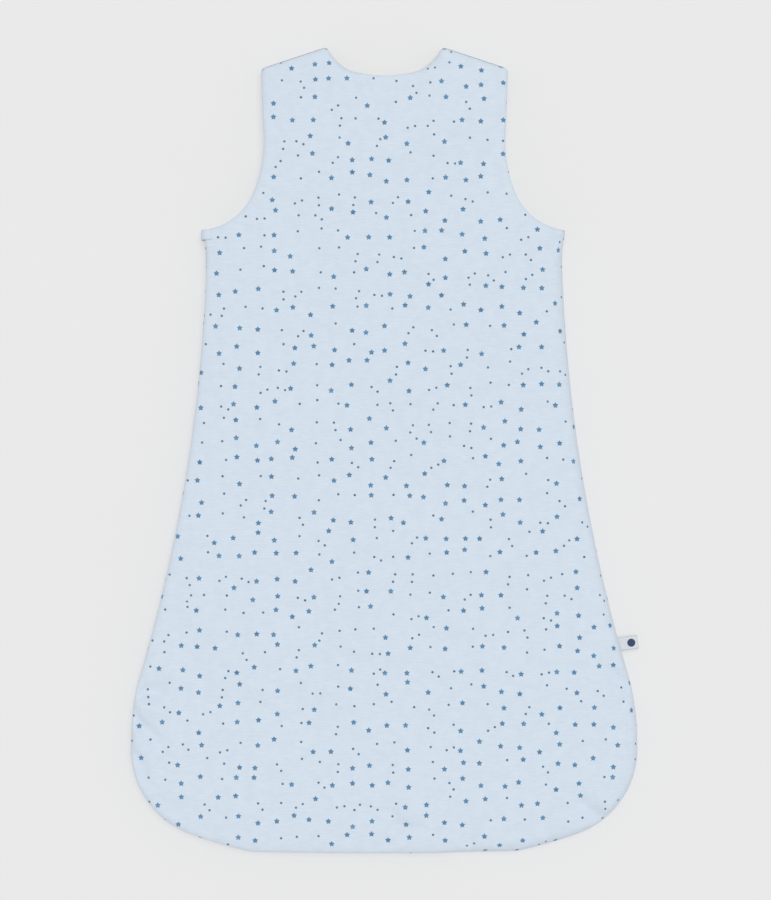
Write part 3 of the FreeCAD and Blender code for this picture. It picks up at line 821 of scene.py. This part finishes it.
def front_panel():
    """The quilted front, which the bag lies on: lining on top, printed skin below."""
    loop, profile = outline(
        FRONT_TOP, FRONT_TOP_BENDS, ["neck", "end", "arm"], FRONT_NECK_BEND, FRONT_PROFILES
    )
    plan, faces = plan_mesh(loop, profile[:, 1], SPACING)
    distance, place, out = nearest(plan, loop)
    edge, low_reach, top_reach, turn = at(profile, place).T
    raised = smooth_step(plan[:, 1], 0.222, 0.272) * smooth_step(abs(plan[:, 0]), 0.020, 0.046)
    low = STRAP_LOW * raised
    high = FRONT_HIGH + (STRAP_HIGH - FRONT_HIGH) * raised
    on_seam = (edge > SEAM_HEIGHT / 2) & (plan[:, 1] < 0.21)
    middle = np.where(on_seam, edge, (low + high) / 2)
    middle = middle * (1 - raised) + (low + high) / 2 * raised
    under = middle + (low - middle) * rolled(distance, low_reach)
    top = middle + (high - middle) * rolled(distance, top_reach)
    level = smooth_step(distance, 0.001, 0.010)
    gathers = puckers(place, distance, loop, 0.0007, 4.1)
    dents = 0.0005 + 0.0006 * ripple(plan, 0.05, 3.3) + 0.0003 * ripple(plan, 0.02, 6.1)
    under = under + np.maximum(gathers, -0.0002) + level * np.maximum(dents, 0)
    skin = np.column_stack([plan, np.maximum(under, 0.0002)])
    skin = settle(skin, faces, sewn_down(distance, low_reach, plan[:, 1] > 0.2))
    skin[:, 2] = np.maximum(skin[:, 2], 0.0001)
    lining = np.column_stack([plan, top + level * 0.0004 * ripple(plan, 0.05, 9.4)])
    flat = unrolled(plan, out, distance, low_reach, np.abs(middle - low))
    flat = flat * np.array([-1.0, 1.0])
    pad = close_up(
        "front_panel", faces, distance, lining, skin, plan, flat,
        (lined(faces, distance / low_reach, turn), np.zeros(len(faces))),
    )
    nodes = ("front_shell", "front_wadding", "front_lining", "side_seam")
    dress(pad, "printed_jersey", "bag", *nodes)


# ---------- strap tabs

FOLD_HALF = 0.0296
TAB_HALF = 0.0265
TAB_LENGTH = 0.055
TAB_CORNER = 0.018
TAB_LOW, TAB_HIGH = 0.0012, 0.0042
TAB_STEP, TAB_REACH, TAB_SPACING = 0.0015, 0.0035, 0.0026
# How far the tab's edge laps over the back panel's edge in the fold.
FOLD_LAP, FOLD_LIFT = 0.0004, 0.0006


def from_fold(side, along, inward):
    """Plan position of a place given along a strap's fold line and inward from it."""
    x = FOLD_MIDDLE[0] + along * FOLD_ALONG[0] + inward * FOLD_INWARD[0]
    return side * x, FOLD_MIDDLE[1] + along * FOLD_ALONG[1] + inward * FOLD_INWARD[1]


def tab_plan():
    """The tab's plan in its own frame: x along the fold, y inward, rounded at its end."""
    side = TAB_HALF - 0.0012
    right = [(FOLD_HALF, 0.0), (side, 0.010), (side - 0.0005, TAB_LENGTH - TAB_CORNER)]
    for a in np.linspace(0.25, math.pi / 2, 7):
        x = side - 0.0005 - TAB_CORNER * (1 - math.cos(a))
        right.append((x, TAB_LENGTH - TAB_CORNER * (1 - math.sin(a))))
    points = [(-x, y) for x, y in right] + right[::-1]
    fine = np.vstack([arc(a, b) for a, b in zip(points, points[1:] + points[:1])])
    keep = circular_smooth(fine, 2)
    keep[:, 1] = np.maximum(keep[:, 1], 0)
    return resampled_loop(keep, np.zeros((len(keep), 0)), TAB_STEP)


def strap_tab(word, side):
    """The end of a back strap, folded forward and lying under the front strap."""
    loop = tab_plan()
    plan, faces = plan_mesh(loop, np.full(len(loop), TAB_REACH), TAB_SPACING)
    distance = nearest(plan, loop)[0]
    inward = plan[:, 1]
    # Towards the fold the tab rises, and both skins curve up to the hinge line.
    slope = 1 - smooth_step(inward, 0.006, 0.032)
    low = TAB_LOW + 0.0038 * slope
    high = TAB_HIGH + 0.0024 * slope
    roll = 1 - rolled(inward, 0.0075)
    low = low + (HINGE_Z - low) * roll
    high = high + (HINGE_Z - high) * (1 - rolled(inward, 0.0055))
    free = rolled(distance, TAB_REACH)
    free[inward < 1e-5] = 0
    middle = (low + high) / 2
    under = middle + (low - middle) * np.where(inward < 0.0036, np.maximum(free, 1 - roll), free)
    upper = middle + (high - middle) * free
    level = smooth_step(distance, 0.001, 0.006)
    under = under + level * 0.0003 * ripple(plan, 0.014, 3.0 + side)
    under = np.maximum(under, 0.0008)
    lap = FOLD_LIFT * (1 - smooth_step(inward, 0.0, 0.003))
    under, upper = under + lap, upper + lap
    x, y = from_fold(side, plan[:, 0], inward - FOLD_LAP)
    uv = plan + np.array([0.3 * side, 0.11])
    pad = close_up(
        f"{word}_strap_tab", faces, distance, np.column_stack([x, y, upper]),
        np.column_stack([x, y, under]), uv, uv, (np.ones(len(faces)), np.zeros(len(faces))),
    )
    nodes = (f"{word}_strap_{layer}" for layer in ("shell", "wadding", "lining"))
    dress(pad, "printed_jersey", f"{word}_strap", *nodes)


# ---------- sewn and moulded parts

def bar_faces(rows, corners):
    """The faces of a bar with closed ends, for rows of its section's corners."""
    faces = []
    for row in range(rows - 1):
        for k in range(corners):
            a, b = row * corners + k, row * corners + (k + 1) % corners
            faces.append((a, b, b + corners, a + corners))
    last = (rows - 1) * corners
    faces.append(tuple(range(corners)))
    faces.append(tuple(range(last, last + corners)))
    return faces


def sweep(name, path, normals, section, material):
    """A closed bar along a plan path; section lists its corners as (inset, height)."""
    section = np.array(section)
    corners = len(section)
    plan = path[:, None] + normals[:, None] * section[None, :, :1]
    level = np.broadcast_to(section[None, :, 1:], (len(path), corners, 1))
    points = np.concatenate([plan, level], 2).reshape(-1, 3)
    return mesh_object(name, points, bar_faces(len(path), corners), (material,))


def rounded_section(inset, low, high, thick):
    """An upright strip's section with a small bead at its free edge."""
    bead = 0.35 * thick
    return [
        (inset, low), (inset, high - bead), (inset - bead, high - 0.6 * bead),
        (inset - bead, high + bead), (inset + thick / 2, high + 1.8 * bead),
        (inset + thick + bead, high + bead), (inset + thick + bead, high - 0.6 * bead),
        (inset + thick, high - bead), (inset + thick, low),
    ]


def zip_line(top_y, end_x, spacing):
    """The zip's way from the hem round the corner and up the left side, with its normals."""
    loop, _ = back_outline(0.0005)
    normals = inward_normals(loop)
    x, y = loop.T
    on_way = ((y < -0.3) & (x < end_x)) | ((x < -0.12) & (y < top_y))
    loop, normals = loop[on_way], normals[on_way]
    along = along_line(loop)
    table = resampled(np.hstack([loop, normals]), along, np.arange(0, along[-1], spacing))
    return table[:, :2], table[:, 2:]


def taken(shape):
    """The points and faces of a bmesh, which is freed."""
    shape.verts.index_update()
    points = np.array([tuple(v.co) for v in shape.verts])
    faces = [tuple(v.index for v in f.verts) for f in shape.faces]
    shape.free()
    return points, faces


def bevelled(size, width, middle=(0, 0, 0), segments=2):
    """Points and faces of a block with rounded edges."""
    block = bmesh.new()
    bmesh.ops.create_cube(block, size=1.0)
    bmesh.ops.scale(block, vec=size, verts=block.verts)
    bmesh.ops.bevel(
        block, geom=block.edges[:], offset=width, segments=segments, profile=0.6,
        affect="EDGES", clamp_overlap=True,
    )
    points, faces = taken(block)
    return points + np.array(middle), faces


def coil(name, path, normals, low, high, lean):
    """One side of the zip: a row of small rounded loops that lean into the other row."""
    block, faces = bevelled((0.00105, 0.0013, high - low), 0.00034)
    along = np.stack([-normals[:, 1], normals[:, 0]], 1)
    taper = 1 - 0.22 * (block[:, 2] * lean > 0)
    level = block[:, 2] + (low + high) / 2
    parts = []
    for place, normal, way in zip(path, normals, along):
        plan = place + normal * COIL_INSET
        plan = plan + np.outer(block[:, 0] * taper, way) + np.outer(block[:, 1], normal)
        parts.append((np.column_stack([plan, level]), faces))
    return join_parts(name, parts, TEETH)


ZIP_PITCH = 0.0024
COIL_INSET = 0.0058
ZIP_TOP_Y, COIL_TOP_Y = 0.1805, 0.1782
TAPE_END_X, COIL_END_X = 0.058, 0.054


def zip_fastener():
    """Tapes and coils; the back's share rides on no single body."""
    path, normals = zip_line(ZIP_TOP_Y, TAPE_END_X, 0.003)
    section = rounded_section(ZIP_INSET, 0.0070, 0.0112, 0.0006)
    front = sweep("front_tape", path, normals, section, TAPE)
    section = [(a, -b) for a, b in rounded_section(ZIP_INSET, -0.0188, -0.0148, 0.0006)]
    back = sweep("back_tape", path, normals, section, TAPE)
    path, normals = zip_line(COIL_TOP_Y, COIL_END_X, ZIP_PITCH / 2)
    lower = coil("front_coil", path[::2], normals[::2], 0.0104, 0.0135, 1)
    upper = coil("back_coil", path[1::2], normals[1::2], 0.0125, 0.0156, -1)
    dress(front, "zip_tape", "bag", "front_zip_tape")
    dress(back, "zip_tape", None, "back_zip_tape", "flap_zip_tape")
    dress(lower, "zip_teeth", "bag", "front_zip_teeth")
    dress(upper, "zip_teeth", None, "back_zip_teeth", "flap_zip_teeth")
    path, normals = zip_line(COIL_TOP_Y, COIL_END_X, 0.004)
    wave = 0.0004 * np.sin(np.arange(len(path)) * 0.9)
    section = np.array([
        (10.4, 7.8), (10.3, 12.0), (10.6, 15.4), (11.2, 16.2), (11.7, 15.4), (11.4, 12.0),
        (11.4, 7.8),
    ]) * MM
    guard = sweep("guard_strip", path + normals * wave[:, None], normals, section, LINING)
    dress(guard, "lining", "bag", "zip_guard")


def join_parts(name, parts, material, matrix=None):
    """Several (points, faces) sets as one object, moved by the matrix."""
    faces, start = [], 0
    for part_points, part_faces in parts:
        faces += [tuple(v + start for v in f) for f in part_faces]
        start += len(part_points)
    points = np.vstack([np.array(part_points, float) for part_points, _ in parts])
    if matrix is not None:
        points = points @ np.array(matrix.to_3x3()).T + np.array(matrix.translation)
    return mesh_object(name, points, faces, (material,))


def plate(corners, near, far, bevel):
    """A plate from corners in (y, z), from x near to x far, with rounded edges."""
    shape = bmesh.new()
    ring = [shape.verts.new((near, y, z)) for y, z in corners]
    face = shape.faces.new(ring)
    raised = bmesh.ops.extrude_face_region(shape, geom=[face])
    moved = [v for v in raised["geom"] if isinstance(v, bmesh.types.BMVert)]
    bmesh.ops.translate(shape, vec=(far - near, 0, 0), verts=moved)
    shape.normal_update()
    sharp = [e for e in shape.edges if e.calc_face_angle(0) > 0.9]
    bmesh.ops.bevel(
        shape, geom=sharp, offset=bevel, segments=3, profile=0.6, affect="EDGES",
        clamp_overlap=True,
    )
    return taken(shape)


def rod(points, radius, sides=10):
    """A round bar along a line of points, closed at both ends."""
    points = np.array(points, float)
    ways = np.gradient(points, axis=0)
    ways /= np.linalg.norm(ways, axis=1)[:, None]
    across = np.cross(ways[0], (0.3, 0.5, 0.8))
    made = []
    for place, way in zip(points, ways):
        across = across - way * (across @ way)
        across /= np.linalg.norm(across)
        other = np.cross(way, across)
        turn = np.arange(sides)[:, None] * 2 * math.pi / sides
        made.append(place + radius * (np.cos(turn) * across + np.sin(turn) * other))
    return np.vstack(made), bar_faces(len(points), sides)


def curve_through(corners, count=28):
    """A rounded line through the corners of a bent rod."""
    line = np.array(corners, float)
    for _ in range(3):
        cut_low = 0.75 * line[:-1] + 0.25 * line[1:]
        cut_high = 0.25 * line[:-1] + 0.75 * line[1:]
        cuts = np.stack([cut_low, cut_high], 1).reshape(-1, 3)
        line = np.vstack([line[:1], cuts, line[-1:]])
    steps = np.linalg.norm(np.diff(line, axis=0), axis=1)
    along = np.concatenate([[0], np.cumsum(steps)])
    return resampled(line, along, np.linspace(0, along[-1], count))


def lathe(profile, centre, segments=40):
    """A turned shape round an upright line through centre; profile is (radius, height)."""
    points, faces, rings = [], [], []
    turn = np.arange(segments) * 2 * math.pi / segments
    for radius, level in profile:
        count = segments if radius > 0 else 1
        rings.append(range(len(points), len(points) + count))
        points += [
            (centre[0] + radius * math.cos(a), centre[1] + radius * math.sin(a), level)
            for a in turn[:count]
        ]
    closed = rings if len(rings[0]) == 1 else rings + rings[:1]
    for low, high in zip(closed, closed[1:]):
        for k in range(segments):
            a, b = low[k % len(low)], low[(k + 1) % len(low)]
            c, d = high[(k + 1) % len(high)], high[k % len(high)]
            face = tuple(dict.fromkeys((a, b, c, d)))
            if len(face) > 2:
                faces.append(face)
    return points, faces


SLIDER_Y = 0.172


def slider_frame():
    """The slider's own frame: origin on the zip's arc, y up along the zip."""
    turn = math.asin((SLIDER_Y - SIDE_CENTRE[1]) / TAPE_RADIUS)
    x = SIDE_CENTRE[0] + TAPE_RADIUS * math.cos(turn)
    return Matrix.Translation((x, SLIDER_Y, 0)) @ Matrix.Rotation(turn, 4, "Z")


def slider():
    """Slider with two plates, a bridge of bent wire and a flat pull with a raised rim."""
    here = slider_frame()
    wide = np.array([
        (5.5, 10.1), (5.1, 9.4), (3.4, 9.2), (0.0, 9.9), (-3.6, 10.1), (-5.2, 10.6),
        (-5.5, 11.6), (-5.5, 14.4), (-5.2, 15.4), (-3.6, 15.9), (0.0, 16.1), (3.4, 16.8),
        (5.1, 16.6), (5.5, 15.9),
    ]) * MM
    small = [(0.97 * y, 0.013 + 0.93 * (z - 0.013)) for y, z in wide]
    rims = [
        rod([(-2.0 * MM, y * MM, z * MM) for y, z in line], 0.32 * MM)
        for line in (
            [(5.0, 9.6), (3.3, 9.5), (0.0, 10.2), (-3.6, 10.4), (-5.0, 10.8)],
            [(5.0, 16.4), (3.3, 16.5), (0.0, 15.8), (-3.6, 15.6), (-5.0, 15.2)],
        )
    ]
    plates = [
        plate(wide, -3.0 * MM, -1.8 * MM, 0.35 * MM), plate(small, 1.0 * MM, 2.1 * MM, 0.35 * MM)
    ]
    web_middle = np.array([-0.4, 3.2, 13.0]) * MM
    web = bevelled((2.8 * MM, 3.4 * MM, 0.7 * MM), 0.2 * MM, web_middle)
    body = join_parts("slider_shell", plates + [web] + rims, ENAMEL, here)

    loop = [(x, 3.0, z) for x, z in ((-2.6, 10.7), (-4.6, 10.7), (-4.6, 15.3), (-2.6, 15.3))]
    wire = rod(curve_through(np.array(loop) * MM), 0.55 * MM, 12)
    bridge = join_parts("slider_loop", [wire], ENAMEL, here)

    blade = [(-1.6, 11.9), (-4.0, 11.6), (-8.0, 10.9)]
    blade += [
        (-12 - 8 * math.cos(a), 13 + 2.6 * math.sin(a)) for a in np.linspace(-1.3, 1.3, 9)
    ]
    blade += [(-8.0, 15.1), (-4.0, 14.4), (-1.6, 14.1)]
    blade = np.array(blade) * MM
    rim = [(-5.0 * MM, 0.94 * y - 0.0004, 0.013 + 0.8 * (z - 0.013)) for y, z in blade]
    band = [(0.62, 11.8), (1.25, 11.8), (1.3, 12.0), (1.3, 14.0), (1.25, 14.2), (0.62, 14.2)]
    band = lathe(np.array(band) * MM, (-4.6 * MM, 3.0 * MM), 24)
    neck_middle = np.array([-4.6, 0.2, 13.0]) * MM
    neck = bevelled((1.1 * MM, 4.2 * MM, 2.2 * MM), 0.3 * MM, neck_middle)
    parts = [
        plate(blade, -5.15 * MM, -4.05 * MM, 0.3 * MM), band, neck,
        rod(curve_through(rim, 60), 0.3 * MM),
    ]
    pull = join_parts("zip_pull_blade", parts, ENAMEL, here)
    dress(body, "slider_metal", "zip_slider", "slider_body")
    dress(bridge, "slider_metal", "zip_slider", "slider_bridge")
    dress(pull, "slider_metal", "zip_pull", "pull_tab")


def stops():
    """Clamped stops at both ends of the zip."""
    low, high = (np.array(c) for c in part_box("zip_top_stops"))
    half = (high[2] - low[2]) / 2 - 0.0003
    size = (high[0] - low[0] + 0.0004, high[1] - low[1], half)
    middle = (low[:2] + high[:2]) / 2
    top = [
        bevelled(size, 0.0003, (*middle, start + half / 2), 3)
        for start in (low[2], high[2] - half)
    ]
    low, high = (np.array(c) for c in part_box("zip_bottom_stop"))
    middle = (low + high) / 2
    end = [bevelled(tuple(high - low), 0.0004, middle, 3)]
    for dx in (-0.0007, 0.0007):
        size = (0.0004, high[1] - low[1] + 0.0003, 0.0012)
        end.append(bevelled(size, 0.00015, middle + np.array([dx, 0, 0])))
    top = join_parts("clamped_top_stops", top, TEETH)
    end = join_parts("clamped_bottom_stop", end, TEETH)
    dress(top, "zip_teeth", "bag", "zip_top_stops")
    dress(end, "zip_teeth", "bag", "zip_bottom_stop")


# Turned profiles of the snaps' parts: radius and height, in millimetres.
CAP = [
    (0, 0.3), (2.1, 0.3), (2.4, 0.1), (4.9, 0.1), (5.5, 0.2), (5.9, 0.5), (6.0, 0.8),
    (5.9, 1.1), (5.5, 1.3), (1.5, 1.3), (1.4, 5.6), (0, 5.9),
]
SOCKET = [
    (2.3, 4.3), (4.6, 4.3), (4.8, 4.6), (4.7, 5.0), (3.6, 5.3), (3.3, 5.9), (2.6, 5.9),
    (2.3, 5.5),
]
STUD = [
    (0, 4.9), (1.3, 4.95), (1.8, 5.2), (1.85, 5.6), (1.6, 6.1), (3.9, 6.2), (4.6, 6.5),
    (4.8, 7.0), (4.6, 7.5), (0, 7.6),
]
STUD_BACK = [
    (0, 11.1), (5.2, 11.1), (5.5, 11.4), (5.4, 11.9), (4.8, 12.25), (2.3, 12.3),
    (2.0, 12.1), (0, 12.1),
]
SNAP_REACH = (0.024, 0.044)


def snaps(word, side):
    """Both snap fasteners of one shoulder: cap and socket on the tab, stud on the front."""
    for profile, name, node, body in (
        (CAP, "caps", f"{word}_strap_snap_caps", f"{word}_strap"),
        (SOCKET, "sockets", f"{word}_strap_snap_sockets", f"{word}_strap"),
        (STUD, "studs", f"{word}_snap_studs", "bag"),
        (STUD_BACK, "stud_discs", f"{word}_stud_backs", "bag"),
    ):
        profile = np.array(profile) * MM
        parts = [lathe(profile, from_fold(side, 0, reach)) for reach in SNAP_REACH]
        piece = join_parts(f"{word}_{name}", parts, ACETAL)
        dress(piece, "snap_plastic", body, node)


RIBBON_ROWS = 9


def ribbon(name, line, low_y, high_y, thick, material, sag=0.0):
    """A folded strip: line runs in (x, z), and the strip is low_y to high_y wide."""
    line = curve_through([(x, 0, z) for x, z in line], 40)
    ways = np.gradient(line, axis=0)
    ways /= np.linalg.norm(ways, axis=1)[:, None]
    outward = np.column_stack([ways[:, 2], np.zeros(len(line)), -ways[:, 0]])
    skins = []
    for side in (-0.5, 0.5):
        rail = line + outward * thick * side
        for share in np.linspace(0, 1, RIBBON_ROWS):
            edge = abs(2 * share - 1) ** 6
            shift = (0, low_y + (high_y - low_y) * share, sag * math.sin(share * 7.0))
            skins.append(rail - outward * thick * side * 0.9 * edge + np.array(shift))
    rows = np.array(skins[:RIBBON_ROWS] + skins[:RIBBON_ROWS - 1:-1]).transpose(1, 0, 2)
    faces = bar_faces(len(line), 2 * RIBBON_ROWS)
    return mesh_object(name, rows.reshape(-1, 3), faces, (material,))


def garage():
    """The folded tab of printed cloth that covers the zip's upper end."""
    low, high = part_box("zip_garage")
    line = [
        (high[0] + 0.0003, 0.0250), (high[0] - 0.0030, 0.0249), (low[0] + 0.0038, 0.0243),
        (low[0] + 0.0016, 0.0228), (low[0] + 0.0003, 0.0198), (low[0], 0.0160),
        (low[0] + 0.0003, low[2] + 0.0035), (low[0] + 0.0025, low[2] + 0.0008),
        (low[0] + 0.0055, low[2] + 0.0006),
    ]
    piece = ribbon("garage_tab", line, low[1], high[1], 0.0009, PRINT, 0.0001)
    dress(piece, "printed_jersey", "bag", "zip_garage")


FLAG_TURN = 0.1396
FLAG_MIDDLE = (0.2092, -0.1694, 0.0)


def labels():
    """The folded label in the side seam with its round emblem, and both inner labels."""
    turned = Matrix.Translation(FLAG_MIDDLE) @ Matrix.Rotation(FLAG_TURN, 4, "Z")
    line = [
        (-0.006, 0.0127), (0.0, 0.0124), (0.007, 0.0119), (0.0112, 0.0120),
        (0.0120, 0.0126), (0.0112, 0.0133), (0.007, 0.0134), (0.0, 0.0131), (-0.006, 0.0131),
    ]
    flag = ribbon("seam_label", line, -0.006, 0.006, 0.00045, SATIN)
    flag.data.transform(turned)
    disc = lathe(
        [
            (0, 0.01345), (0.0032, 0.01345), (0.0035, 0.0136), (0.0034, 0.0138),
            (0.0028, 0.01385), (0, 0.01385),
        ],
        (0.0058, 0.0),
    )
    emblem = join_parts("label_emblem", [disc], NAVY, turned)
    dress(flag, "label", "bag", "flag_label")
    dress(emblem, "emblem", "bag", "flag_emblem")
    for node, name, bend in (
        ("care_label", "inner_care_label", 0.0008), ("neck_label", "inner_size_label", -0.0003)
    ):
        low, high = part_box(node)
        level = (low[2] + high[2]) / 2
        line = [
            (low[0] + 0.0005, level), (low[0] * 0.7 + high[0] * 0.3, level + bend),
            (low[0] * 0.3 + high[0] * 0.7, level + bend * 0.6), (high[0] - 0.0005, level),
        ]
        piece = ribbon(name, line, low[1], high[1], 0.0004, SATIN)
        dress(piece, "label", "bag", node)


studio()
back_panel()
front_panel()
zip_fastener()
slider()
stops()
garage()
labels()
for word, side in (("left", -1), ("right", 1)):
    strap_tab(word, side)
    snaps(word, side)
